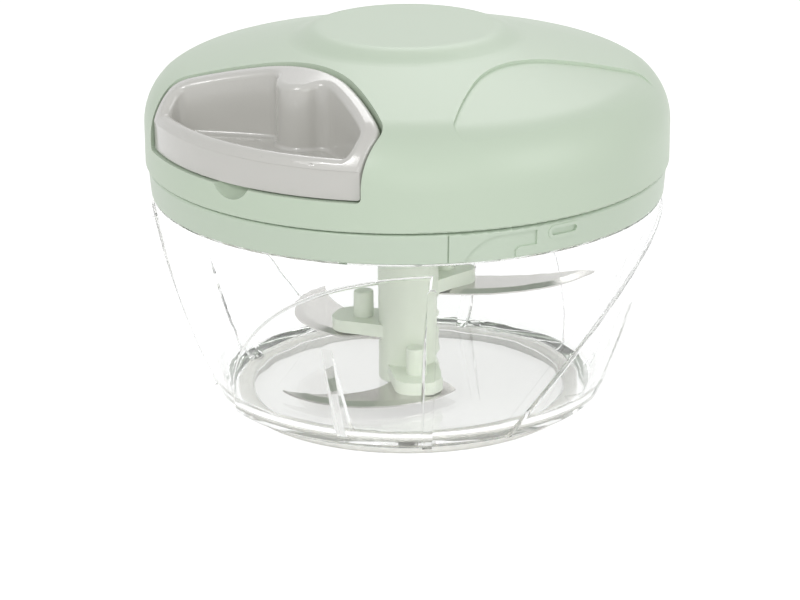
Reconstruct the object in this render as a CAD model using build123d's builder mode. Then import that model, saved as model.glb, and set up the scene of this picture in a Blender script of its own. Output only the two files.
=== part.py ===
from build123d import *
import math
import os

# Food chopper worked by a pull handle in its lid. Millimetres, +Z up.
# Origin: middle of the face that the chopper rests on. Its front faces -Y.
# Azimuths are in degrees from the front, and grow towards +X (anticlockwise from above).

# ---- fits ----
loose_gap = 0.3  # between pieces that pass each other
running_fit = 0.08  # radial, between a shaft and its bearing
seat_fit = 0.02  # radial, between a pressed or screwed piece and its seat
cut_over = 1.0  # how far a cut runs past the face that it opens

# ---- foot ring and bowl ----
foot_height = 3.4
foot_outer_radius = 42.4
foot_inner_radius = 38.2
foot_edge_round = 1.0
bowl_base_radius = 46.3
bowl_shoulder_radius = 61.0
bowl_shoulder_z = 52.5
bowl_bulge = 1.95  # how far the side bows out from the straight line
bowl_wall = 2.4
bowl_floor = 1.2
bowl_floor_drop = 1.0  # the floor inside the foot ring is lower by this
bowl_corner_round = 7.0
neck_step = 2.4  # width of the shoulder that the lid stands over
neck_wall = 1.4
neck_height = 5.5
pattern_count = 4  # swirls, ribs and bayonet lugs go round the bowl

# Raised swirl panel, drawn on the plane that faces its azimuth
swirl_azimuth = -27.5
swirl_rise = 0.8
swirl_arc_radius = 60.2
swirl_arc_across = 32.8
swirl_arc_drop = 10.2  # centre of the arc, below the rest face
swirl_edge_round = 0.7
swirl_foot_across = 24.9

# Upright bead beside each swirl, and upright fin inside the wall
bead_azimuth = 5.0
bead_width = 2.2
bead_rise = 1.3
bead_top_z = 46.7
bead_end_round = 1.0
relief_top_gap = 1.0  # swirls and beads are cut from skins that end this far under the shoulder
fin_azimuth = -20.0
fin_thickness = 2.4
fin_reach = 5.0  # how far the fin's foot stands into the bowl
fin_top_z = 33.0

# Bayonet lugs on the neck
lug_azimuth = 37.0
lug_span = 12.0
lug_reach = 1.1
lug_thickness = 2.0
lug_lift = 2.5  # underside of a lug above the shoulder

# Steel pin that the blade hub turns on
pin_radius = 2.5
pin_boss_radius = 6.0
pin_boss_height = 0.7
pin_top_z = 15.0
pin_end_round = 1.0

# ---- lid base: band, plate and spigot ----
band_height = 7.2
band_overhang = 0.3  # the band stands out over the bowl by this
band_flare = 0.6
band_edge_round = 0.6
entry_span = 14.0
unlock_turn = 18.0
seal_thickness = 1.5
seal_edge_round = 0.4
plate_thickness = 2.0
skirt_gap = 0.4  # between the skirt and the neck's bore
skirt_wall = 1.5
skirt_depth = 3.6
spigot_height = 3.2
spigot_wall = 1.4
bearing_boss_radius = 9.0
bearing_boss_depth = 3.8

# Marks of the lock on the outside of the band, in degrees round it and heights above its foot
lock_azimuth = 19.5  # middle of the ramp's recess
lock_count = 2
lock_depth = 0.45
lock_line_width = 0.35
lock_line_azimuth = 8.3
ramp_left = 8.4
ramp_knee = 5.0  # where the ramp's edge has risen to ramp_knee_z
ramp_knee_z = 4.4
ramp_end_z = 6.0
ramp_corner_round = 1.0
ramp_right = 8.9
ramp_low = 2.6
ramp_high = 6.1
ramp_mouth = 3.8
eyelet_azimuth = 34.5
eyelet_length = 8.6
eyelet_height = 3.2
eyelet_lip = 0.8
eyelet_middle = 4.8

# ---- lid cover ----
cover_overhang = 0.6  # the cover stands out over the band by this
cover_wall = 2.3
seam_gap = 0.4  # the fine line between the cover and the band
side_height = 9.6  # upright part of the cover's side
shoulder_round = 14.0
shoulder_sweep = 75.4
crown_round = 520.0
crown_sweep = 2.7
cap_radius = 20.5  # flat middle, which the crown swells up to
cap_rise = 2.8
cap_swell = 3.2  # how firmly the swell starts and ends
cover_edge_round = 0.5

# Leaf-shaped outline of the handle and of the three grips
handle_azimuth = -41.0
grip_azimuth = 45.5
grip_count = 4  # places round the lid, of which the handle takes the last
leaf_corner_radius = 31.6  # the leaf's nose, from the axis
leaf_nose_round = 32.0
leaf_nose_sweep = 25.0
leaf_half_width = 32.1
leaf_ear_at = 45.4  # where the leaf's slanting and straight sides meet
leaf_ear_round = 4.0
grip_depth = 1.0
grip_shift = 1.3  # outward shift of the grip's floor, which fades it out at the rim

# Pocket of the handle
pocket_floor_z = 67.2
pocket_gap = 0.6
pocket_wall = 2.0
pocket_lip_round = 1.2
scoop_azimuth = -39.5
scoop_radius = 6.2
scoop_depth = 3.0
scoop_wall = 1.6

# ---- handle ----
handle_bottom_gap = 0.4
handle_floor = 3.4
handle_wall = 4.2
handle_corner_round = 3.6
handle_rim_round = 1.6
cavity_corner_round = 2.4
handle_foot_round = 0.5
cavity_floor_round = 1.0
parting_height = 6.7  # the handle's front is upright up to here, above its underside
parting_inset = 0.9  # how far that upright front lies inside the cover's side
anchor_radius = 6.3
anchor_blend = 3.0
anchor_offset = 4.4  # from the leaf's corner to the anchor's middle
knot_chamber_radius = 3.4
knot_seat_back = 2.0  # from the anchor's middle inwards to the knot's seat
plug_thickness = 1.8
plug_edge_round = 0.5

# ---- cord ----
cord_radius = 0.9
cord_z = 73.7
cord_bend_radius = 6.0
cord_bend_at = 26.4  # where the cord turns outwards, from the axis
knot_radius = 2.6
knot_length = 4.4
knot_round = 1.3
guide_bore_radius = 1.3
guide_radius = 2.6
guide_flange_radius = 3.6
guide_flange = 0.8
guide_pad_radius = 4.6
guide_pad_rise = 0.7
guide_mouth_round = 0.7

# ---- spool, spring and clutch ----
post_radius = 4.0
spool_core_radius = 16.0
spool_flange_radius = 25.0
spool_flange = 1.0
cord_groove_width = 4.6
winding_radius = 19.8
cup_wall = 1.5
cup_depth = 6.6
spring_strip = 0.5
spring_turns = 9
spring_end_gap = 0.6
spring_lid_thickness = 1.2
tooth_count = 12
tooth_inner_radius = 10.0
tooth_outer_radius = 15.0
tooth_width = 2.3
tooth_height = 1.6
clutch_plate_radius = 15.6
clutch_plate_thickness = 3.1

# ---- drive shaft and its bush ----
journal_radius = 4.0
bush_wall = 2.0
bush_flange_radius = 8.0
bush_flange = 0.8
shaft_hex_radius = 4.5
shaft_hex_length = 10.5
shaft_square = 5.4
shaft_end_chamfer = 0.4
shaft_screw_radius = 1.2
shaft_screw_length = 6.0
shaft_screw_head_radius = 3.9
shaft_screw_head = 1.6
shaft_screw_head_round = 0.6

# ---- cover screws ----
screw_count = 4
screw_circle_radius = 44.0
screw_radius = 1.5
screw_length = 12.0
screw_head_radius = 3.0
screw_head = 2.2
screw_boss_radius = 5.0
screw_boss_depth = 2.5
screw_post_radius = 3.6

# ---- blade hub and blades ----
hub_radius = 7.3
hub_bottom_gap = 0.2
hub_top_gap = 0.4
hub_bush_wall = 1.5
hub_bush_height = 12.0
hub_lug_azimuth = 9.5
hub_lug_width = 11.6
hub_lug_reach = 19.0
hub_lug_corner_round = 4.6
hub_lug_thickness = 3.1
hub_peg_radius = 2.45
hub_peg_height = 6.5
hub_edge_round = 0.5
hub_top_round = 0.8
hub_peg_at = 11.7
blade_thickness = 1.0
blade_root_radius = 5.6
blade_root_half_width = 4.4
blade_bevel = 2.0
blade_edge = 0.4
blade_tail = 14.7  # where the blade's front edge leaves the lug, from the axis

# name: underside height, tip radius, how far the tip trails, bow of the edge, hollow of the back, tail width
blades = {
    "blade_lower": (6.0, 32.8, 75.7, 11.4, 8.0, 8.9),
    "blade_upper": (26.0, 49.5, 20.5, -2.5, -6.7, 3.0),
    "blade_middle": (15.4, 43.3, 40.0, 10.0, 4.5, 6.5),
}

# ---- radii and heights worked out from the sizes above ----
neck_radius = bowl_shoulder_radius - neck_step
groove_radius = neck_radius + lug_reach + loose_gap
band_bottom_radius = bowl_shoulder_radius + band_overhang
band_top_radius = band_bottom_radius + band_flare
cover_radius = band_top_radius + cover_overhang
clear_out = cover_radius + cover_wall  # beyond the widest piece, for cuts and extrusions
floor_top_z = foot_height + bowl_floor
neck_rim_z = bowl_shoulder_z + neck_height
band_bottom_z = bowl_shoulder_z + loose_gap
band_top_z = band_bottom_z + band_height
plate_under_z = neck_rim_z + loose_gap + seal_thickness
plate_top_z = plate_under_z + plate_thickness
cover_bottom_z = band_top_z + seam_gap
bush_bottom_z = plate_under_z - bearing_boss_depth
bush_top_z = plate_top_z + bush_flange
hub_bottom_z = floor_top_z + pin_boss_height + hub_bottom_gap
hub_top_z = bush_bottom_z - hub_top_gap
clutch_z = bush_top_z + loose_gap
clutch_top_z = clutch_z + clutch_plate_thickness
spool_z = clutch_top_z + tooth_height + loose_gap
groove_z = cord_z - cord_groove_width / 2
cup_floor_z = groove_z + cord_groove_width + spool_flange
cup_rim_z = cup_floor_z + cup_depth
handle_z = pocket_floor_z + handle_bottom_gap
neck_bore = neck_radius - neck_wall
cord_guide_at = leaf_corner_radius - pocket_gap - pocket_wall


def outward(azimuth):
    """The level direction from the axis at an azimuth."""
    turn = math.radians(azimuth)
    return Vector(math.sin(turn), -math.cos(turn), 0)


def upright(azimuth):
    """Standing plane through the axis: its x runs outwards and its y runs up."""
    return Plane(origin=(0, 0, 0), x_dir=outward(azimuth), z_dir=outward(azimuth - 90))


def facing(azimuth):
    """Standing plane seen from outside at an azimuth: its x runs along growing azimuth."""
    return Plane(origin=(0, 0, 0), x_dir=outward(azimuth + 90), z_dir=outward(azimuth))


def level(azimuth, z):
    """Level plane: its x runs outwards at the azimuth and its y along growing azimuth."""
    return Plane(origin=(0, 0, z), x_dir=outward(azimuth), z_dir=(0, 0, 1))


def around(count, first_azimuth):
    """Azimuths of a pattern that goes evenly round the axis."""
    return [first_azimuth + 360 * index / count for index in range(count)]


def finish(piece, name):
    """Label a finished piece and write its file."""
    piece.part.label = name
    export_step(piece.part, f"parts/{name}.step")


# The bowl's side is one arc, so its radius at a height follows from the arc's circle.
side_chord = Vector(bowl_shoulder_radius - bowl_base_radius, bowl_shoulder_z - foot_height)
side_round = side_chord.length**2 / (8 * bowl_bulge) + bowl_bulge / 2
side_middle = Vector(bowl_base_radius, foot_height) + side_chord / 2
side_normal = Vector(side_chord.Y, -side_chord.X).normalized()
side_centre = side_middle - side_normal * (side_round - bowl_bulge)


def side_radius(z, inset=0.0):
    """Radius of the bowl's side at a height, or of a face inside it by the inset."""
    return side_centre.X + math.sqrt((side_round - inset) ** 2 - (z - side_centre.Y) ** 2)


# ---- bowl ----
relief_top_z = bowl_shoulder_z - relief_top_gap
floor_radius = side_radius(floor_top_z, bowl_wall)
drop_radius = foot_inner_radius - loose_gap

with BuildPart() as bowl_skin:
    with BuildSketch(Plane.XZ):
        with BuildLine():
            outer_low = (side_radius(foot_height, -bead_rise), foot_height)
            outer_high = (side_radius(relief_top_z, -bead_rise), relief_top_z)
            inner_high = (side_radius(relief_top_z, bowl_wall / 2), relief_top_z)
            inner_low = (side_radius(foot_height, bowl_wall / 2), foot_height)
            middle_z = (foot_height + bowl_shoulder_z) / 2
            ThreePointArc(outer_low, (side_radius(middle_z, -bead_rise), middle_z), outer_high)
            Line(outer_high, inner_high)
            ThreePointArc(inner_high, (side_radius(middle_z, bowl_wall / 2), middle_z), inner_low)
            Line(inner_low, outer_low)
        make_face()
    revolve(axis=Axis.Z)

with BuildPart() as swirl_skin:
    with BuildSketch(Plane.XZ):
        with BuildLine():
            outer_low = (side_radius(foot_height, -swirl_rise), foot_height)
            outer_high = (side_radius(relief_top_z, -swirl_rise), relief_top_z)
            ThreePointArc(outer_low, (side_radius(middle_z, -swirl_rise), middle_z), outer_high)
            Line(outer_high, inner_high)
            ThreePointArc(inner_high, (side_radius(middle_z, bowl_wall / 2), middle_z), inner_low)
            Line(inner_low, outer_low)
        make_face()
    revolve(axis=Axis.Z)

swirl_arc_centre = (swirl_arc_across, -swirl_arc_drop)
swirl_foot_reach = math.sqrt(swirl_arc_radius**2 - (swirl_arc_drop + foot_height) ** 2)
swirl_corner = (swirl_arc_across - swirl_foot_reach, foot_height)
swirl_peak = (swirl_arc_across, swirl_arc_radius - swirl_arc_drop)

with BuildPart() as swirl:
    with BuildSketch(facing(swirl_azimuth)):
        with BuildLine():
            RadiusArc(swirl_corner, swirl_peak, swirl_arc_radius)
            Line(swirl_peak, (swirl_foot_across, foot_height))
            Line((swirl_foot_across, foot_height), swirl_corner)
        make_face()
    extrude(amount=clear_out)
    add(swirl_skin.part, mode=Mode.INTERSECT)
    swirl_faces = swirl.faces().sort_by(SortBy.AREA)[-2:]
    fillet(swirl_faces.sort_by(lambda face: -face.center().length)[0].edges(), swirl_edge_round)

with BuildPart() as bead:
    with BuildSketch(facing(bead_azimuth)):
        with Locations((0, foot_height)):
            Rectangle(bead_width, bead_top_z - foot_height, align=(Align.CENTER, Align.MIN))
        fillet(vertices().group_by(Axis.Y)[-1], bead_end_round)
    extrude(amount=clear_out)
    add(bowl_skin.part, mode=Mode.INTERSECT)

with BuildPart() as bowl:
    with BuildSketch(Plane.XZ) as bowl_profile:
        with BuildLine():
            Polyline(
                (0, floor_top_z),
                (0, foot_height - bowl_floor_drop),
                (drop_radius, foot_height - bowl_floor_drop),
                (drop_radius, foot_height),
                (bowl_base_radius, foot_height),
            )
            ThreePointArc(
                (bowl_base_radius, foot_height),
                (side_radius(middle_z), middle_z),
                (bowl_shoulder_radius, bowl_shoulder_z),
            )
            Polyline(
                (bowl_shoulder_radius, bowl_shoulder_z),
                (neck_radius, bowl_shoulder_z),
                (neck_radius, neck_rim_z),
                (neck_bore, neck_rim_z),
                (neck_bore, bowl_shoulder_z),
            )
            inner_middle_z = (bowl_shoulder_z + floor_top_z) / 2
            inner_middle_wall = (bowl_wall + bowl_shoulder_radius - neck_bore) / 2
            ThreePointArc(
                (neck_bore, bowl_shoulder_z),
                (side_radius(inner_middle_z, inner_middle_wall), inner_middle_z),
                (floor_radius, floor_top_z),
            )
            Line((floor_radius, floor_top_z), (0, floor_top_z))
        make_face()
        inner_corner = bowl_profile.vertices().sort_by_distance((floor_radius, floor_top_z, 0))[0]
        fillet(inner_corner, bowl_corner_round)
    revolve(axis=Axis.Z)
    for turn in around(pattern_count, 0):
        add(swirl.part.rotate(Axis.Z, turn))
        add(bead.part.rotate(Axis.Z, turn))
    for azimuth in around(pattern_count, fin_azimuth):
        with BuildSketch(upright(azimuth)):
            with BuildLine():
                Polyline(
                    (floor_radius - fin_reach, floor_top_z - bowl_floor / 2),
                    (side_radius(floor_top_z, bowl_wall / 2), floor_top_z - bowl_floor / 2),
                    (side_radius(fin_top_z, bowl_wall / 2), fin_top_z),
                    (side_radius(fin_top_z, bowl_wall), fin_top_z),
                    close=True,
                )
            make_face()
        extrude(amount=fin_thickness / 2, both=True)
    for azimuth in around(pattern_count, lug_azimuth - lug_span / 2):
        with BuildSketch(upright(azimuth)):
            with Locations((neck_radius - neck_wall / 2, bowl_shoulder_z + lug_lift)):
                Rectangle(neck_wall / 2 + lug_reach, lug_thickness, align=(Align.MIN, Align.MIN))
        revolve(axis=Axis.Z, revolution_arc=lug_span)
    with BuildSketch(Plane.XY.offset(floor_top_z - bowl_floor)):
        Circle(pin_boss_radius)
    extrude(amount=bowl_floor + pin_boss_height)
    with BuildSketch(Plane.XY.offset(foot_height)):
        Circle(pin_radius + seat_fit)
    extrude(amount=bowl_floor + pin_boss_height + cut_over, mode=Mode.SUBTRACT)
finish(bowl, "bowl")

with BuildPart() as pivot_pin:
    with BuildSketch(Plane.XY.offset(foot_height)):
        Circle(pin_radius)
    extrude(amount=pin_top_z - foot_height)
    fillet(pivot_pin.edges().group_by(Axis.Z)[-1], pin_end_round)
finish(pivot_pin, "pivot_pin")

with BuildPart() as foot_ring:
    with BuildSketch():
        Circle(foot_outer_radius)
        Circle(foot_inner_radius, mode=Mode.SUBTRACT)
    extrude(amount=foot_height)
    fillet(foot_ring.edges().group_by(Axis.Z)[0], foot_edge_round)
finish(foot_ring, "foot_ring")

# ---- lid base ----
bush_radius = journal_radius + running_fit + bush_wall
band_bore = neck_radius + loose_gap
skirt_radius = neck_bore - skirt_gap
spigot_radius = cover_radius - cover_wall - loose_gap
lug_under_z = bowl_shoulder_z + lug_lift
lug_over_z = lug_under_z + lug_thickness
ledge_z = lug_under_z - loose_gap
groove_top_z = lug_over_z + loose_gap
lug_end = lug_span / 2
groove_cut = groove_radius - band_bore + cut_over
entry_cut = ledge_z - band_bottom_z + 2 * cut_over
stop_gap = 0.6  # degrees
screw_azimuths = around(screw_count, handle_azimuth + 180 / screw_count)

# Skins of the band, which the marks of the lock are cut from and raised on
with BuildPart() as band_skin:
    with BuildSketch(Plane.XZ):
        Polygon(
            (band_bottom_radius - lock_depth, band_bottom_z),
            (clear_out, band_bottom_z),
            (clear_out, band_top_z),
            (band_top_radius - lock_depth, band_top_z),
            align=None,
        )
    revolve(axis=Axis.Z)

with BuildPart() as lip_skin:
    with BuildSketch(Plane.XZ):
        Polygon(
            (band_bottom_radius - lock_depth, band_bottom_z),
            (band_bottom_radius + lock_depth / 2, band_bottom_z),
            (band_top_radius + lock_depth / 2, band_top_z),
            (band_top_radius - lock_depth, band_top_z),
            align=None,
        )
    revolve(axis=Axis.Z)

with BuildPart() as lock_cut:
    with BuildSketch(facing(lock_azimuth)) as ramp:
        with BuildLine():
            ThreePointArc(
                (-ramp_left, band_bottom_z),
                (-ramp_knee, band_bottom_z + ramp_knee_z),
                (0, band_bottom_z + ramp_end_z),
            )
            Polyline(
                (0, band_bottom_z + ramp_end_z),
                (ramp_right, band_bottom_z + ramp_high),
                (ramp_right, band_bottom_z + ramp_low),
                (ramp_mouth, band_bottom_z + ramp_low),
                (ramp_mouth, band_bottom_z),
                (-ramp_left, band_bottom_z),
            )
        make_face()
        mouth_corner = ramp.vertices().sort_by_distance((ramp_mouth, band_bottom_z + ramp_low))[0]
        fillet(mouth_corner, ramp_corner_round)
    extrude(amount=clear_out)
    with BuildSketch(facing(lock_line_azimuth)):
        with Locations((0, band_bottom_z)):
            Rectangle(lock_line_width, band_height - seam_gap, align=(Align.CENTER, Align.MIN))
    extrude(amount=clear_out)
    with BuildSketch(facing(eyelet_azimuth)):
        with Locations((0, band_bottom_z + eyelet_middle)):
            SlotOverall(eyelet_length - 2 * eyelet_lip, eyelet_height - 2 * eyelet_lip)
    extrude(amount=clear_out)
    add(band_skin.part, mode=Mode.INTERSECT)

with BuildPart() as eyelet_lips:
    with BuildSketch(facing(eyelet_azimuth)):
        with Locations((0, band_bottom_z + eyelet_middle)):
            SlotOverall(eyelet_length, eyelet_height)
            SlotOverall(eyelet_length - 2 * eyelet_lip, eyelet_height - 2 * eyelet_lip, mode=Mode.SUBTRACT)
    extrude(amount=clear_out)
    add(lip_skin.part, mode=Mode.INTERSECT)

with BuildPart() as lid_base:
    with BuildSketch(Plane.XZ) as base_profile:
        with BuildLine():
            Polyline(
                (bush_radius + seat_fit, bush_bottom_z),
                (bearing_boss_radius, bush_bottom_z),
                (bearing_boss_radius, plate_under_z),
                (skirt_radius - skirt_wall, plate_under_z),
                (skirt_radius - skirt_wall, plate_under_z - skirt_depth),
                (skirt_radius, plate_under_z - skirt_depth),
                (skirt_radius, plate_under_z),
                (band_bore, plate_under_z),
                (band_bore, band_bottom_z),
                (band_bottom_radius, band_bottom_z),
                (band_top_radius, band_top_z),
                (spigot_radius, band_top_z),
                (spigot_radius, band_top_z + spigot_height),
                (spigot_radius - spigot_wall, band_top_z + spigot_height),
                (spigot_radius - spigot_wall, plate_top_z),
                (bush_radius + seat_fit, plate_top_z),
                close=True,
            )
        make_face()
        fillet(base_profile.vertices().group_by(Axis.X)[-2:], band_edge_round)
    revolve(axis=Axis.Z)
    for azimuth in around(pattern_count, lug_azimuth):
        groove_start = azimuth - unlock_turn - entry_span / 2
        groove_span = unlock_turn + entry_span / 2 + lug_end + stop_gap
        with BuildSketch(upright(groove_start)):
            with Locations((band_bore - cut_over, ledge_z)):
                Rectangle(groove_cut, groove_top_z - ledge_z, align=(Align.MIN, Align.MIN))
        revolve(axis=Axis.Z, revolution_arc=groove_span, mode=Mode.SUBTRACT)
        with BuildSketch(upright(groove_start)):
            with Locations((band_bore - cut_over, band_bottom_z - cut_over)):
                Rectangle(groove_cut, entry_cut, align=(Align.MIN, Align.MIN))
        revolve(axis=Axis.Z, revolution_arc=entry_span, mode=Mode.SUBTRACT)
    for azimuth in screw_azimuths:
        with BuildSketch(level(azimuth, plate_under_z - screw_boss_depth)):
            with Locations((screw_circle_radius, 0)):
                Circle(screw_boss_radius)
        extrude(amount=screw_boss_depth)
        with BuildSketch(level(azimuth, plate_under_z - screw_boss_depth)):
            with Locations((screw_circle_radius, 0)):
                Circle(screw_head_radius + loose_gap)
        extrude(amount=screw_boss_depth, mode=Mode.SUBTRACT)
        with BuildSketch(level(azimuth, plate_under_z - screw_boss_depth)):
            with Locations((screw_circle_radius, 0)):
                Circle(screw_radius + loose_gap)
        extrude(amount=screw_boss_depth + plate_thickness + cut_over, mode=Mode.SUBTRACT)
    for turn in around(lock_count, 0):
        add(lock_cut.part.rotate(Axis.Z, turn), mode=Mode.SUBTRACT)
        add(eyelet_lips.part.rotate(Axis.Z, turn))
finish(lid_base, "lid_base")

with BuildPart() as lid_seal:
    with BuildSketch(Plane.XY.offset(neck_rim_z + loose_gap)):
        Circle(neck_radius)
        Circle(skirt_radius + loose_gap, mode=Mode.SUBTRACT)
    extrude(amount=seal_thickness)
    fillet(lid_seal.edges().group_by(Axis.Z)[0], seal_edge_round)
finish(lid_seal, "lid_seal")

with BuildPart() as shaft_bush:
    with BuildSketch(Plane.XY.offset(bush_bottom_z)):
        Circle(bush_radius)
    extrude(amount=plate_top_z - bush_bottom_z)
    with BuildSketch(Plane.XY.offset(plate_top_z)):
        Circle(bush_flange_radius)
    extrude(amount=bush_flange)
    with BuildSketch(Plane.XY.offset(bush_bottom_z)):
        Circle(journal_radius + running_fit)
    extrude(amount=bush_top_z - bush_bottom_z, mode=Mode.SUBTRACT)
finish(shaft_bush, "shaft_bush")


# ---- lid cover ----
def dome_face(shrink):
    """Half section of the dome, shrunk all over by a wall: side, shoulder, crown and swell of the cap."""
    radius = cover_radius - shrink
    side_top = (radius, cover_bottom_z + side_height)
    with BuildSketch(Plane.XZ) as section:
        with BuildLine():
            shoulder = JernArc(side_top, (0, 1), shoulder_round - shrink, shoulder_sweep)
            crown = JernArc(shoulder @ 1, shoulder % 1, crown_round - shrink, crown_sweep)
            cap_middle = (0, cap_top_z - shrink)
            cap_edge = (cap_radius, cap_top_z - shrink)
            swell_start = crown @ 1 + crown % 1 * cap_swell
            Bezier(crown @ 1, swell_start, (cap_radius + cap_swell, cap_top_z - shrink), cap_edge)
            Polyline(cap_edge, cap_middle, (0, cover_bottom_z), (radius, cover_bottom_z), side_top)
        make_face()
    return section.sketch


def leaf(grow=0.0):
    """Leaf outline of the handle and the grips, grown by a gap, open past the rim: x runs outwards."""
    with BuildSketch() as outline:
        with BuildLine():
            for side in (1, -1):
                ear = (leaf_ear_at, side * leaf_half_width)
                nose = JernArc((leaf_corner_radius, 0), (0, side), leaf_nose_round, -side * leaf_nose_sweep)
                TangentArc(nose @ 1, ear, tangent=nose % 1)
                Line(ear, (clear_out, side * leaf_half_width))
            Line((clear_out, leaf_half_width), (clear_out, -leaf_half_width))
        make_face()
        ears = outline.vertices().sort_by(lambda corner: abs(corner.X - leaf_ear_at))[:2]
        fillet(ears, leaf_ear_round)
        if grow:
            offset(amount=grow)
    return outline.sketch


shoulder_end = math.radians(shoulder_sweep)
crown_end = math.radians(shoulder_sweep + crown_sweep)
shoulder_top_z = cover_bottom_z + side_height + shoulder_round * math.sin(shoulder_end)
cap_top_z = shoulder_top_z + crown_round * (math.sin(crown_end) - math.sin(shoulder_end)) + cap_rise

with BuildPart() as dome:
    add(dome_face(0))
    revolve(axis=Axis.Z)
    fillet(dome.edges().group_by(Axis.Z)[0], cover_edge_round)

# Air under the cover: it leaves the pocket's walls, the screw posts and the spool's post standing.
guide_face = cord_guide_at - guide_pad_rise
guide_plane = Plane(
    origin=outward(handle_azimuth) * guide_face + Vector(0, 0, cord_z),
    x_dir=outward(handle_azimuth + 90),
    z_dir=outward(handle_azimuth),
)

scoop_z = pocket_floor_z + scoop_radius - scoop_depth
scoop_spot = outward(scoop_azimuth) * (cover_radius + cut_over) + Vector(0, 0, scoop_z)

with BuildPart() as cover_air:
    add(dome_face(cover_wall))
    revolve(axis=Axis.Z)
    with BuildSketch(level(handle_azimuth, pocket_floor_z - pocket_wall)):
        add(leaf(pocket_gap + pocket_wall))
    extrude(amount=cover_radius, mode=Mode.SUBTRACT)
    for azimuth in screw_azimuths:
        with BuildSketch(level(azimuth, plate_top_z)):
            with Locations((screw_circle_radius, 0)):
                Circle(screw_post_radius)
        extrude(amount=cover_radius, mode=Mode.SUBTRACT)
    with BuildSketch(Plane.XY.offset(spool_z + loose_gap)):
        Circle(post_radius)
    extrude(amount=cover_radius, mode=Mode.SUBTRACT)
    with BuildSketch(guide_plane):
        Circle(guide_pad_radius)
    extrude(amount=guide_pad_rise + pocket_wall / 2, mode=Mode.SUBTRACT)
    with Locations(scoop_spot):
        Sphere(scoop_radius + scoop_wall, mode=Mode.SUBTRACT)

with BuildPart() as grip_recess:
    with BuildSketch(level(0, cover_bottom_z + side_height)):
        add(leaf())
    extrude(amount=cover_radius)
    add(dome.part.moved(Location(outward(0) * grip_shift - Vector(0, 0, grip_depth))), mode=Mode.SUBTRACT)

with BuildPart() as lid_cover:
    add(dome.part)
    add(cover_air.part, mode=Mode.SUBTRACT)
    for azimuth in around(grip_count, grip_azimuth)[: grip_count - 1]:
        add(grip_recess.part.rotate(Axis.Z, azimuth), mode=Mode.SUBTRACT)
    with BuildSketch(level(handle_azimuth, pocket_floor_z)):
        add(leaf(pocket_gap))
    extrude(amount=cover_radius, mode=Mode.SUBTRACT)
    pocket_lip = lid_cover.edges().filter_by(GeomType.CIRCLE).filter_by_position(
        Axis.Z, pocket_floor_z, pocket_floor_z
    )
    fillet(pocket_lip.sort_by(SortBy.RADIUS)[-1], pocket_lip_round)
    with Locations(scoop_spot):
        Sphere(scoop_radius, mode=Mode.SUBTRACT)
    with BuildSketch(guide_plane):
        Circle(guide_radius + seat_fit)
    extrude(amount=guide_pad_rise + pocket_wall + cut_over, mode=Mode.SUBTRACT)
    for azimuth in screw_azimuths:
        with BuildSketch(level(azimuth, plate_top_z)):
            with Locations((screw_circle_radius, 0)):
                Circle(screw_radius + seat_fit)
        extrude(amount=screw_length, mode=Mode.SUBTRACT)
finish(lid_cover, "lid_cover")

screw_seat_z = plate_under_z
with BuildPart() as cover_screws:
    for azimuth in screw_azimuths:
        with BuildSketch(level(azimuth, screw_seat_z - screw_head)):
            with Locations((screw_circle_radius, 0)):
                Circle(screw_head_radius)
        extrude(amount=screw_head)
        with BuildSketch(level(azimuth, screw_seat_z)):
            with Locations((screw_circle_radius, 0)):
                Circle(screw_radius)
        extrude(amount=screw_length)
finish(cover_screws, "cover_screws")

# ---- pull handle ----
knot_start = leaf_corner_radius + anchor_offset - knot_seat_back
anchor_at = leaf_corner_radius + anchor_offset

with BuildPart() as handle_cavity:
    with BuildSketch(level(handle_azimuth, handle_z + handle_floor)) as opening:
        add(leaf(-handle_wall))
        Circle(cover_radius - handle_wall, mode=Mode.INTERSECT)
        corners = opening.vertices().filter_by(lambda corner: abs(corner.Y) > leaf_half_width / 2)
        fillet(corners, cavity_corner_round)
        with Locations((anchor_at, 0)):
            Circle(anchor_radius, mode=Mode.SUBTRACT)
        fillet(opening.vertices().sort_by(Axis.X)[:2], anchor_blend)
    extrude(amount=cover_radius)
    fillet(handle_cavity.edges().group_by(Axis.Z)[0], cavity_floor_round)

with BuildPart() as pull_handle:
    with BuildSketch(level(handle_azimuth, handle_z)) as footprint:
        add(leaf())
        Circle(cover_radius, mode=Mode.INTERSECT)
        corners = footprint.vertices().filter_by(lambda corner: abs(corner.Y) > leaf_half_width / 2)
        fillet(corners.sort_by(Axis.X)[-2:], handle_corner_round)
    extrude(amount=cover_radius)
    add(dome.part, mode=Mode.INTERSECT)
    add(handle_cavity.part, mode=Mode.SUBTRACT)
    rim_faces = pull_handle.faces().filter_by(GeomType.TORUS)
    fillet(rim_faces.edges().filter_by(GeomType.CIRCLE, reverse=True), handle_rim_round)
    fillet(pull_handle.faces().sort_by(Axis.Z)[0].outer_wire().edges(), handle_foot_round)
    with BuildSketch(Plane.XY.offset(handle_z)):
        Circle(clear_out)
        Circle(cover_radius - parting_inset, mode=Mode.SUBTRACT)
    extrude(amount=parting_height, mode=Mode.SUBTRACT)
    with BuildSketch(level(handle_azimuth, handle_z)):
        with Locations((anchor_at, 0)):
            Circle(knot_chamber_radius)
    extrude(amount=cord_z + knot_radius + cut_over - handle_z, mode=Mode.SUBTRACT)
    with BuildSketch(guide_plane):
        Circle(cord_radius + loose_gap)
    extrude(amount=anchor_at - guide_face, mode=Mode.SUBTRACT)
finish(pull_handle, "pull_handle")

with BuildPart() as handle_plug:
    with BuildSketch(level(handle_azimuth, handle_z)):
        with Locations((anchor_at, 0)):
            Circle(knot_chamber_radius - seat_fit)
    extrude(amount=plug_thickness)
    fillet(handle_plug.edges().group_by(Axis.Z)[0], plug_edge_round)
finish(handle_plug, "handle_plug")

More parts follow.
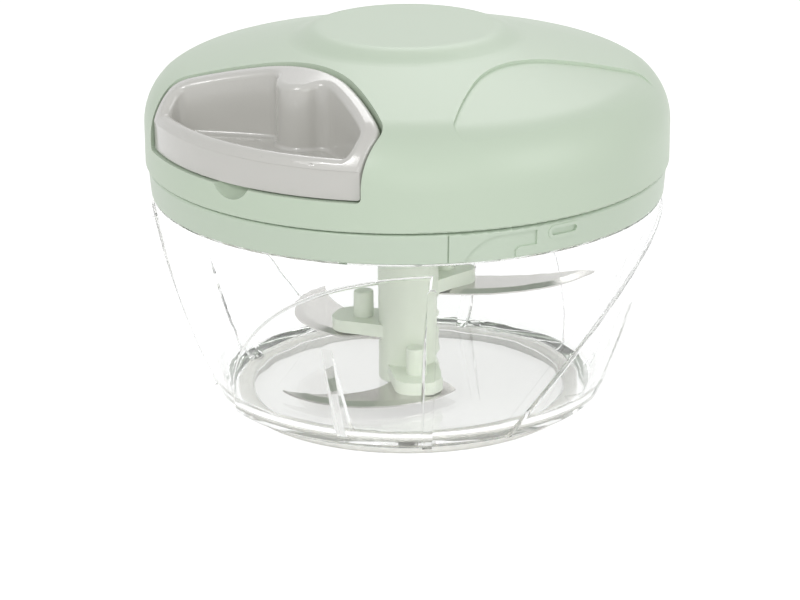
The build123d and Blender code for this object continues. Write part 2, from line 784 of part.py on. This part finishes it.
# ---- cord and its guide ----
lead_radius = winding_radius + cord_radius + loose_gap
lead_azimuth = handle_azimuth - math.degrees(math.acos(lead_radius / cord_bend_at))
knot_plane = Plane(
    origin=outward(handle_azimuth) * knot_start + Vector(0, 0, cord_z),
    x_dir=outward(handle_azimuth + 90),
    z_dir=outward(handle_azimuth),
)
cord_lift = Vector(0, 0, cord_z)
cord_route = [
    outward(lead_azimuth) * lead_radius + cord_lift,
    outward(handle_azimuth) * cord_bend_at + cord_lift,
    outward(handle_azimuth) * knot_start + cord_lift,
]

with BuildPart() as pull_cord:
    with BuildLine() as cord_line:
        FilletPolyline(*cord_route, radius=cord_bend_radius)
    with BuildSketch(Plane(origin=cord_line.line @ 0, z_dir=cord_line.line % 0)):
        Circle(cord_radius)
    sweep(path=cord_line.line)
finish(pull_cord, "pull_cord")

with BuildPart() as cord_knot:
    with BuildSketch(knot_plane):
        Circle(knot_radius)
    extrude(amount=knot_length)
    fillet(cord_knot.edges(), knot_round)
finish(cord_knot, "cord_knot")

with BuildPart() as cord_guide:
    with BuildSketch(guide_plane.offset(-guide_flange)):
        Circle(guide_flange_radius)
    extrude(amount=guide_flange)
    with BuildSketch(guide_plane):
        Circle(guide_radius)
    extrude(amount=guide_pad_rise + pocket_wall)
    with BuildSketch(guide_plane.offset(-guide_flange)):
        Circle(guide_bore_radius)
    extrude(amount=guide_flange + guide_pad_rise + pocket_wall, mode=Mode.SUBTRACT)
    mouth = cord_guide.edges().filter_by(GeomType.CIRCLE).group_by(SortBy.RADIUS)[0]
    fillet(mouth.sort_by_distance((0, 0, cord_z))[0], guide_mouth_round)
finish(cord_guide, "cord_guide")

with BuildPart() as cord_winding:
    with BuildSketch(Plane.XY.offset(groove_z + loose_gap / 2)):
        Circle(winding_radius)
        Circle(spool_core_radius + seat_fit, mode=Mode.SUBTRACT)
    extrude(amount=cord_groove_width - loose_gap)
    fillet(cord_winding.edges().filter_by(GeomType.CIRCLE).group_by(SortBy.RADIUS)[-1], cord_radius)
finish(cord_winding, "cord_winding")


# ---- clutch teeth ----
def teeth(lean):
    """Ring of saw teeth standing on the level plane: their upright flanks face against the lean."""
    with BuildPart() as ring:
        for azimuth in around(tooth_count, 0):
            tooth_plane = facing(azimuth).offset(tooth_inner_radius)
            with BuildSketch(tooth_plane):
                with BuildLine():
                    Polyline((0, 0), (lean * tooth_width, 0), (0, tooth_height), close=True)
                make_face()
            extrude(amount=tooth_outer_radius - tooth_inner_radius)
    return ring.part


with BuildPart() as clutch_plate:
    with BuildSketch(Plane.XY.offset(clutch_z)):
        Circle(clutch_plate_radius)
        Rectangle(shaft_square + 2 * seat_fit, shaft_square + 2 * seat_fit, mode=Mode.SUBTRACT)
    extrude(amount=clutch_plate_thickness)
    add(teeth(1).moved(Location((0, 0, clutch_top_z))))
finish(clutch_plate, "clutch_plate")

with BuildPart() as drive_shaft:
    with BuildSketch(Plane.XY.offset(bush_bottom_z)):
        Circle(journal_radius)
    extrude(amount=clutch_z - bush_bottom_z)
    with BuildSketch(Plane.XY.offset(clutch_z)):
        Rectangle(shaft_square, shaft_square)
    extrude(amount=clutch_plate_thickness)
    with BuildSketch(Plane.XY.offset(bush_bottom_z - shaft_hex_length)):
        RegularPolygon(shaft_hex_radius, 6)
    extrude(amount=shaft_hex_length)
    chamfer(drive_shaft.edges().group_by(Axis.Z)[0], shaft_end_chamfer)
    with BuildSketch(Plane.XY.offset(clutch_top_z - shaft_screw_length)):
        Circle(shaft_screw_radius + seat_fit)
    extrude(amount=shaft_screw_length, mode=Mode.SUBTRACT)
finish(drive_shaft, "drive_shaft")

with BuildPart() as shaft_screw:
    with BuildSketch(Plane.XY.offset(clutch_top_z)):
        Circle(shaft_screw_head_radius)
    extrude(amount=shaft_screw_head)
    fillet(shaft_screw.edges().group_by(Axis.Z)[-1], shaft_screw_head_round)
    with BuildSketch(Plane.XY.offset(clutch_top_z - shaft_screw_length + loose_gap)):
        Circle(shaft_screw_radius)
    extrude(amount=shaft_screw_length - loose_gap)
finish(shaft_screw, "shaft_screw")

# ---- spool, spring and spring lid ----
with BuildPart() as cord_spool:
    with BuildSketch(Plane.XY.offset(spool_z)):
        Circle(spool_core_radius)
    extrude(amount=cup_floor_z - spool_z)
    for flange_z in (groove_z - spool_flange, cup_floor_z - spool_flange):
        with BuildSketch(Plane.XY.offset(flange_z)):
            Circle(spool_flange_radius)
        extrude(amount=spool_flange)
    with BuildSketch(Plane.XY.offset(cup_floor_z)):
        Circle(spool_flange_radius)
        Circle(spool_flange_radius - cup_wall, mode=Mode.SUBTRACT)
    extrude(amount=cup_depth)
    teeth_flip = Location((0, 0, spool_z)) * Location((0, 0, 0), (180, 0, 0))
    add(teeth(1).moved(teeth_flip).rotate(Axis.Z, 180 + math.degrees(-loose_gap / tooth_inner_radius)))
    with BuildSketch(Plane.XY.offset(spool_z)):
        Circle(post_radius + running_fit)
    extrude(amount=cup_rim_z - spool_z, mode=Mode.SUBTRACT)
finish(cord_spool, "cord_spool")

spring_inner_radius = post_radius + 2 * spring_strip
spring_outer_radius = spool_flange_radius - cup_wall - spring_end_gap
spring_step = (spring_outer_radius - spring_inner_radius) / (2 * spring_turns + 1)

with BuildPart() as power_spring:
    with BuildSketch(Plane.XY.offset(cup_floor_z + loose_gap)):
        for half_turn in range(2 * spring_turns):
            side = 1 if half_turn % 2 else -1
            middle = spring_step if half_turn % 2 else 0
            outer = spring_inner_radius + spring_step * (half_turn + 1)
            inner = outer - spring_strip
            with BuildLine():
                ThreePointArc((0, middle + outer), (side * outer, middle), (0, middle - outer))
                Line((0, middle - outer), (0, middle - inner))
                ThreePointArc((0, middle - inner), (side * inner, middle), (0, middle + inner))
                Line((0, middle + inner), (0, middle + outer))
            make_face()
    extrude(amount=cup_depth - 2 * loose_gap)
finish(power_spring, "power_spring")

with BuildPart() as spring_lid:
    with BuildSketch(Plane.XY.offset(cup_rim_z)):
        Circle(spool_flange_radius)
        Circle(post_radius + loose_gap, mode=Mode.SUBTRACT)
    extrude(amount=spring_lid_thickness)
finish(spring_lid, "spring_lid")

# ---- blade hub, its bush and the blades ----
hub_lug_azimuths = around(len(blades), hub_lug_azimuth)

with BuildPart() as blade_hub:
    with BuildSketch(Plane.XY.offset(hub_bottom_z)):
        Circle(hub_radius)
    extrude(amount=hub_top_z - hub_bottom_z)
    fillet(blade_hub.edges().group_by(Axis.Z)[-1], hub_top_round)
    for (under_z, *_), azimuth in zip(blades.values(), hub_lug_azimuths):
        lug_z = under_z + blade_thickness
        with BuildSketch(level(azimuth, lug_z)) as lug:
            Rectangle(hub_lug_reach, hub_lug_width, align=(Align.MIN, Align.CENTER))
            fillet(lug.vertices().group_by(Axis.X)[-1], hub_lug_corner_round)
        extrude(amount=hub_lug_thickness)
        with BuildSketch(level(azimuth, lug_z + hub_lug_thickness)):
            with Locations((hub_peg_at, 0)):
                Circle(hub_peg_radius)
        peg_top = extrude(amount=hub_peg_height).edges().group_by(Axis.Z)[-1]
        fillet(peg_top, hub_edge_round)
        with BuildSketch(level(azimuth, under_z)):
            with Locations((blade_root_radius - loose_gap, 0)):
                Rectangle(hub_radius, 2 * hub_radius, align=(Align.MIN, Align.CENTER))
        extrude(amount=blade_thickness, mode=Mode.SUBTRACT)
    with BuildSketch(Plane.XY.offset(hub_bottom_z)):
        Circle(pin_radius + running_fit + hub_bush_wall + seat_fit)
    extrude(amount=hub_bush_height, mode=Mode.SUBTRACT)
    with BuildSketch(Plane.XY.offset(bush_bottom_z - shaft_hex_length - loose_gap)):
        RegularPolygon(shaft_hex_radius + running_fit, 6)
    extrude(amount=shaft_hex_length + loose_gap, mode=Mode.SUBTRACT)
finish(blade_hub, "blade_hub")

with BuildPart() as hub_bush:
    with BuildSketch(Plane.XY.offset(hub_bottom_z)):
        Circle(pin_radius + running_fit + hub_bush_wall)
        Circle(pin_radius + running_fit, mode=Mode.SUBTRACT)
    extrude(amount=hub_bush_height)
finish(hub_bush, "hub_bush")

for (name, sizes), azimuth in zip(blades.items(), hub_lug_azimuths):
    under_z, tip_radius, tip_lag, edge_bow, back_hollow, tail_width = sizes
    lag = math.radians(tip_lag)
    tip = (tip_radius * math.cos(lag), -tip_radius * math.sin(lag))
    tail = (blade_tail, tail_width)
    root_front = (blade_root_radius, blade_root_half_width)
    root_back = (blade_root_radius, -blade_root_half_width)
    with BuildPart() as blade:
        with BuildSketch(level(azimuth, under_z)):
            with BuildLine():
                Line(root_back, root_front)
                Line(root_front, tail)
                SagittaArc(tail, tip, edge_bow)
                SagittaArc(tip, root_back, -back_hollow)
            make_face()
        extrude(amount=blade_thickness)
        top = blade.faces().sort_by(Axis.Z)[-1]
        cutting_edge = top.edges().sort_by(SortBy.LENGTH)[-1]
        chamfer(cutting_edge, blade_bevel, blade_thickness - blade_edge, reference=top)
    finish(blade, name)
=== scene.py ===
import math

import bmesh
import bpy
from mathutils import Euler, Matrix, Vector


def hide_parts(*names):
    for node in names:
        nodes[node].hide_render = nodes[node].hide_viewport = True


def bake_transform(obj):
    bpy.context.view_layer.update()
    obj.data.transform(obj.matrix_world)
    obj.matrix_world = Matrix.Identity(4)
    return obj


# Looks of a food chopper with a pull handle in its lid. Metres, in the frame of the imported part.

MM = 0.001
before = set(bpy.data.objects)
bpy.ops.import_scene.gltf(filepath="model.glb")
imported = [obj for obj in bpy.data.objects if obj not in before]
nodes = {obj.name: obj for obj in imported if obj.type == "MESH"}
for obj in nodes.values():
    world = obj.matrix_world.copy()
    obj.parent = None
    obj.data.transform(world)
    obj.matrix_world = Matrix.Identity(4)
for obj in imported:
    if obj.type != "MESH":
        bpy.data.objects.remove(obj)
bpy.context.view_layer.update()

# ---- view: where the photograph was taken from, relative to the foot's centre ----
camera_back = 0.66990
camera_height = 0.25931
camera_tilt = math.radians(19.416)  # downwards
camera_roll = -0.00515  # radians
focal_pixels = 2914.37
frame_width = 800  # pixels
axis_pixel_x = 408.17  # where the chopper's axis is in the photograph
sensor = 36.0  # millimetres

# ---- pull cord, between the guide in the lid and the knot in the handle ----
handle_azimuth = math.radians(-41.0)  # from the front, towards +X
cord_leaves = 30.4 * MM  # from the axis, just past the guide
cord_tied = 33.9 * MM  # from the axis, where the handle carries it
cord_rings = 24

# ---- light: each lamp's place, the side of its square and its watts ----
lamps = {
    "key": ((-0.6, -0.9, 0.85), 0.35, 4.5),
    "fill": ((1.0, -0.6, 0.52), 0.7, 3.4),
    "back": ((0.1, 0.85, 0.9), 0.6, 2.6),
    "low": ((0.15, -1.3, 0.25), 0.5, 1.1),
}
lamps_aim = (0, 0, 0.05)
world_light = 0.46  # for rays that light a surface, where 1 is the white that the camera sees
pure_white = (1, 1, 1, 1)
light_bounces = 48  # few leave dark lines in the bowl's wall, where light is reflected many times
clear_layers = 20

# ---- floor ----
floor_size = 6.0
floor_behind = floor_size / 4  # how far the floor's middle lies behind the chopper
floor_roughness = 0.9
speck_scale = 8
speck_drift = 0.004
shadow_share = 0.4  # how much of the light on the floor the camera sees
shadow_level = 0.6  # the floor's own glow is less than white by this much of shadow_share

# ---- colours, in sRGB as the photograph shows them ----
lid_green = (203, 218, 198)
band_green = (203, 217, 199)
hub_green = (224, 231, 216)
handle_grey = (206, 205, 200)
foot_cream = (252, 250, 243)
floor_white = (245, 245, 244)
steel_grey = (208, 206, 203)
screw_steel = (176, 175, 172)
mechanism_white = (226, 227, 222)
cord_white = (226, 224, 216)
seal_white = (225, 227, 223)

# ---- noise: features per metre, and how fine their detail is ----
broad_detail = 2
fine_detail = 4

# ---- moulded plastic ----
drift_scale = 30
skin_scale = 2600
colour_drift = 0.012
gloss_drift = 0.03
skin_grain = 0.02 * MM
skin_depth = 0.08  # how much of the light goes under the skin
skin_reach = 3 * MM
plastic_ior = 1.5
coat_roughness = 0.12

# ---- clear plastic of the bowl, with its colours as linear shares of the light ----
floor_face = 5.5 * MM  # just above the bowl's floor; below it, inside the foot ring, the plastic is tinted grey as painted shade
disc_radius = 37.9 * MM
painted_shade_edge = 0.5 * MM  # how softly the painted grey shade of that disc ends
# painted shade: a grey tint on the bowl's floor disc, standing in for the shade that falls inside the
# bowl
disc_painted_shade = (0.83, 0.83, 0.82, 1)
wall_colour = (0.994, 0.997, 0.995, 1)
lamp_light_colour = (0.99, 0.995, 0.99, 1)
clear_ior = 1.45
ripple_scale = 60
ripple_roughness = 0.02
ripple_height = 0.04 * MM

# ---- ground steel ----
scratch_scale = (900, 60, 900)
scratch_drift = 0.04
scratch_smoother = 0.05
scratch_rougher = 0.08
scratch_height = 0.02 * MM


def linear(colour):
    """sRGB bytes to the linear colour that shaders take."""
    parts = [channel / 255 for channel in colour]
    curve = [part / 12.92 if part <= 0.04045 else ((part + 0.055) / 1.055) ** 2.4 for part in parts]
    return curve + [1.0]


# ---- nodes that the materials share ----
def new_material(name):
    """A node material with only its output and one principled shader."""
    material = bpy.data.materials.new(name)
    material.use_nodes = True
    return material, material.node_tree, material.node_tree.nodes["Principled BSDF"]


def own_space(tree):
    """Places in the object's own space."""
    return tree.nodes.new("ShaderNodeTexCoord").outputs["Object"]


def noise(tree, scale, detail):
    """Noise in the object's own space, in features per metre."""
    texture = tree.nodes.new("ShaderNodeTexNoise")
    texture.inputs["Scale"].default_value = scale
    texture.inputs["Detail"].default_value = detail
    tree.links.new(own_space(tree), texture.inputs["Vector"])
    return texture.outputs["Fac"]


def spread(tree, value, low, high):
    """Maps a value from 0 to 1 on to a range."""
    ramp = tree.nodes.new("ShaderNodeMapRange")
    ramp.inputs["To Min"].default_value = low
    ramp.inputs["To Max"].default_value = high
    tree.links.new(value, ramp.inputs["Value"])
    return ramp.outputs["Result"]


def past(tree, value, start, end):
    """Zero up to the start of a range, one from its end, and a slope between."""
    ramp = tree.nodes.new("ShaderNodeMapRange")
    ramp.inputs["From Min"].default_value = start
    ramp.inputs["From Max"].default_value = end
    tree.links.new(value, ramp.inputs["Value"])
    return ramp.outputs["Result"]


def either(tree, first, second):
    """The larger of two values, so one where at least one of them is one."""
    node = tree.nodes.new("ShaderNodeMath")
    node.operation = "MAXIMUM"
    tree.links.new(first, node.inputs[0])
    tree.links.new(second, node.inputs[1])
    return node.outputs[0]


def mixed(tree, value, first, second):
    """A colour that goes from the first to the second as a value goes from 0 to 1."""
    mix = tree.nodes.new("ShaderNodeMix")
    mix.data_type = "RGBA"
    mix.inputs["A"].default_value = first
    mix.inputs["B"].default_value = second
    tree.links.new(value, mix.inputs["Factor"])
    return mix.outputs["Result"]


def tint(tree, value, colour, change):
    """A colour that drifts a little, darker to lighter, with a value."""
    shade = linear(colour)
    darker = [part * (1 - change) for part in shade[:3]] + [1]
    lighter = [min(1, part * (1 + change)) for part in shade[:3]] + [1]
    return mixed(tree, value, darker, lighter)


def bump(tree, value, shader, height):
    """Surface relief from a value, in metres."""
    node = tree.nodes.new("ShaderNodeBump")
    node.inputs["Distance"].default_value = height
    tree.links.new(value, node.inputs["Height"])
    tree.links.new(node.outputs["Normal"], shader.inputs["Normal"])


def seen_ray(tree):
    """One for rays that show a surface: from the camera, off gloss and through clear plastic."""
    path = tree.nodes.new("ShaderNodeLightPath")
    direct = either(tree, path.outputs["Is Camera Ray"], path.outputs["Is Glossy Ray"])
    return either(tree, direct, path.outputs["Is Transmission Ray"])


# ---- materials ----
def moulded(name, colour, roughness, grain=skin_grain, depth=skin_depth, reach=skin_reach, gloss=0.0):
    """Moulded plastic: a faint drift of colour and gloss, and a fine skin."""
    material, tree, shader = new_material(name)
    wide = noise(tree, drift_scale, broad_detail)
    fine = noise(tree, skin_scale, fine_detail)
    tree.links.new(tint(tree, wide, colour, colour_drift), shader.inputs["Base Color"])
    sheen = spread(tree, wide, roughness - gloss_drift, roughness + gloss_drift)
    tree.links.new(sheen, shader.inputs["Roughness"])
    bump(tree, fine, shader, grain)
    shader.inputs["IOR"].default_value = plastic_ior
    shader.inputs["Subsurface Weight"].default_value = depth
    shader.inputs["Subsurface Radius"].default_value = (reach, reach, reach)
    shader.inputs["Subsurface Scale"].default_value = 1.0
    shader.inputs["Coat Weight"].default_value = gloss
    shader.inputs["Coat Roughness"].default_value = coat_roughness
    return material


def axis_distance(tree, place):
    """How far a place lies from the Z axis."""
    level = tree.nodes.new("ShaderNodeVectorMath")
    level.operation = "MULTIPLY"
    level.inputs[1].default_value = (1, 1, 0)
    tree.links.new(place, level.inputs[0])
    length = tree.nodes.new("ShaderNodeVectorMath")
    length.operation = "LENGTH"
    tree.links.new(level.outputs["Vector"], length.inputs[0])
    return length.outputs["Value"]


def bowl_colour(tree):
    """Painted shade: grey on the floor's disc, and clear everywhere else."""
    place = own_space(tree)
    split = tree.nodes.new("ShaderNodeSeparateXYZ")
    tree.links.new(place, split.inputs["Vector"])
    above = past(tree, split.outputs["Z"], floor_face - painted_shade_edge, floor_face + painted_shade_edge)
    outside = past(tree, axis_distance(tree, place), disc_radius, disc_radius + painted_shade_edge)
    return mixed(tree, either(tree, above, outside), disc_painted_shade, wall_colour)


def let_lamps_through(tree, shader):
    """Shadow rays pass the material, and all other rays meet its shader."""
    path = tree.nodes.new("ShaderNodeLightPath")
    lit = tree.nodes.new("ShaderNodeBsdfTransparent")
    lit.inputs["Color"].default_value = lamp_light_colour
    choice = tree.nodes.new("ShaderNodeMixShader")
    tree.links.new(path.outputs["Is Shadow Ray"], choice.inputs["Fac"])
    tree.links.new(shader.outputs["BSDF"], choice.inputs[1])
    tree.links.new(lit.outputs["BSDF"], choice.inputs[2])
    tree.links.new(choice.outputs["Shader"], tree.nodes["Material Output"].inputs["Surface"])


def clear_plastic(name):
    """Clear plastic: smooth, with a hint of ripple from the mould."""
    material, tree, shader = new_material(name)
    let_lamps_through(tree, shader)
    ripple = noise(tree, ripple_scale, broad_detail)
    tree.links.new(spread(tree, ripple, 0.0, ripple_roughness), shader.inputs["Roughness"])
    # the base colour carries the painted shade on the floor disc
    tree.links.new(bowl_colour(tree), shader.inputs["Base Color"])
    shader.inputs["Transmission Weight"].default_value = 1.0
    shader.inputs["IOR"].default_value = clear_ior
    bump(tree, ripple, shader, ripple_height)
    return material


def steel(name, colour, roughness):
    """Ground stainless steel: fine scratches, drawn out along Y."""
    material, tree, shader = new_material(name)
    stretch = tree.nodes.new("ShaderNodeMapping")
    stretch.inputs["Scale"].default_value = scratch_scale
    scratch = tree.nodes.new("ShaderNodeTexNoise")
    scratch.inputs["Scale"].default_value = 1.0
    scratch.inputs["Detail"].default_value = fine_detail
    tree.links.new(own_space(tree), stretch.inputs["Vector"])
    tree.links.new(stretch.outputs["Vector"], scratch.inputs["Vector"])
    value = scratch.outputs["Fac"]
    tree.links.new(tint(tree, value, colour, scratch_drift), shader.inputs["Base Color"])
    sheen = spread(tree, value, roughness - scratch_smoother, roughness + scratch_rougher)
    tree.links.new(sheen, shader.inputs["Roughness"])
    bump(tree, value, shader, scratch_height)
    shader.inputs["Metallic"].default_value = 1.0
    return material


green = moulded("lid_green", lid_green, roughness=0.38)
band = moulded("band_green", band_green, roughness=0.36)
hub_plastic = moulded("hub_green", hub_green, roughness=0.35)
grey = moulded("handle_grey", handle_grey, roughness=0.24, gloss=0.8)
cream = moulded("foot_cream", foot_cream, roughness=0.6, grain=0.06 * MM, depth=0.6, reach=8 * MM)
white = moulded("mechanism_white", mechanism_white, roughness=0.45)
seal = moulded("seal_white", seal_white, roughness=0.5)
braid = moulded("cord_white", cord_white, roughness=0.8, grain=0.2 * MM)
blade_steel = steel("blade_steel", steel_grey, roughness=0.22)
plain_steel = steel("plain_steel", screw_steel, roughness=0.3)
clear = clear_plastic("clear_bowl")

node_material = {
    "bowl": clear,
    "foot_ring": cream,
    "pivot_pin": plain_steel,
    "lid_cover": green,
    "lid_base": band,
    "lid_seal": seal,
    "cover_screws": plain_steel,
    "shaft_bush": white,
    "cord_guide": plain_steel,
    "pull_cord": braid,
    "cord_spool": white,
    "cord_winding": braid,
    "power_spring": plain_steel,
    "spring_lid": white,
    "drive_shaft": white,
    "clutch_plate": white,
    "shaft_screw": plain_steel,
    "blade_hub": hub_plastic,
    "hub_bush": white,
    "blade_lower": blade_steel,
    "blade_upper": blade_steel,
    "blade_middle": blade_steel,
    "pull_handle": grey,
    "handle_plug": grey,
    "cord_knot": braid,
}
for node_name, material in node_material.items():
    mesh = nodes[node_name].data
    mesh.materials.clear()
    mesh.materials.append(material)


# ---- pull cord ----
def pull_cord_line():
    """The CAD cord with rings from its guide to its knot, so that it can stretch with the handle."""
    mesh = nodes["pull_cord"].data.copy()
    outwards = Vector((math.sin(handle_azimuth), -math.cos(handle_azimuth), 0))
    form = bmesh.new()
    form.from_mesh(mesh)
    for ring in range(cord_rings + 1):
        reach = cord_leaves + (cord_tied - cord_leaves) * ring / cord_rings
        everything = form.verts[:] + form.edges[:] + form.faces[:]
        bmesh.ops.bisect_plane(form, geom=everything, plane_co=outwards * reach, plane_no=outwards)
    form.to_mesh(mesh)
    form.free()
    cord = bpy.data.objects.new("pull_cord_line", mesh)
    bpy.context.collection.objects.link(cord)
    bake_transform(cord)
    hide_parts("pull_cord")


# ---- floor, light and camera ----
def backdrop_material():
    """White floor: shown as white with a faint shadow, and lit like white paper for everything else."""
    material, tree, shader = new_material("studio_white")
    seen = seen_ray(tree)
    speck = noise(tree, speck_scale, broad_detail)
    paper = tree.nodes.new("ShaderNodeMix")
    paper.data_type = "RGBA"
    tree.links.new(seen, paper.inputs["Factor"])
    tree.links.new(tint(tree, speck, floor_white, speck_drift), paper.inputs["A"])
    paper.inputs["B"].default_value = [shadow_share] * 3 + [1]
    tree.links.new(paper.outputs["Result"], shader.inputs["Base Color"])
    shader.inputs["Roughness"].default_value = floor_roughness
    shader.inputs["Emission Color"].default_value = pure_white
    glow = spread(tree, seen, 0.0, 1 - shadow_share * shadow_level)
    tree.links.new(glow, shader.inputs["Emission Strength"])
    return material


def studio():
    """A wide pale floor."""
    bpy.ops.mesh.primitive_plane_add(size=floor_size, location=(0, floor_behind, 0))
    floor = bpy.context.object
    floor.name = "floor"
    floor.data.materials.append(backdrop_material())


def white_world():
    """White all round for the camera, mirrors and glass, and a plain level of light for the rest."""
    world = bpy.data.worlds.new("studio")
    bpy.context.scene.world = world
    world.use_nodes = True
    tree = world.node_tree
    background = tree.nodes["Background"]
    background.inputs["Color"].default_value = pure_white
    tree.links.new(spread(tree, seen_ray(tree), world_light, 1.0), background.inputs["Strength"])


def soft_lamp(name, place, size, power):
    """A square soft box that shines on the chopper."""
    data = bpy.data.lights.new(name, "AREA")
    data.shape = "SQUARE"
    data.size = size
    data.energy = power
    lamp = bpy.data.objects.new(name, data)
    bpy.context.collection.objects.link(lamp)
    lamp.location = place
    lamp.rotation_euler = (Vector(lamps_aim) - Vector(place)).to_track_quat("-Z", "Y").to_euler()


def photo_camera():
    """The camera of the photograph: its lens, place, tilt and roll."""
    data = bpy.data.cameras.new("photo_camera")
    data.sensor_width = sensor
    data.lens = focal_pixels * sensor / frame_width
    data.shift_x = -(axis_pixel_x - frame_width / 2) / frame_width
    camera = bpy.data.objects.new("photo_camera", data)
    bpy.context.collection.objects.link(camera)
    camera.location = (0, -camera_back, camera_height)
    camera.rotation_euler = Euler((math.pi / 2 - camera_tilt, 0, 0))
    camera.rotation_euler.rotate_axis("Z", camera_roll)
    bpy.context.scene.camera = camera


def render_settings():
    """Plain colours, and enough bounces for the clear bowl."""
    scene = bpy.context.scene
    scene.view_settings.view_transform = "Standard"
    scene.cycles.max_bounces = light_bounces
    scene.cycles.glossy_bounces = light_bounces
    scene.cycles.transmission_bounces = light_bounces
    scene.cycles.transparent_max_bounces = clear_layers


pull_cord_line()
studio()
white_world()
for lamp_name, (lamp_place, lamp_size, lamp_watts) in lamps.items():
    soft_lamp(lamp_name, lamp_place, lamp_size, lamp_watts)
photo_camera()
render_settings()
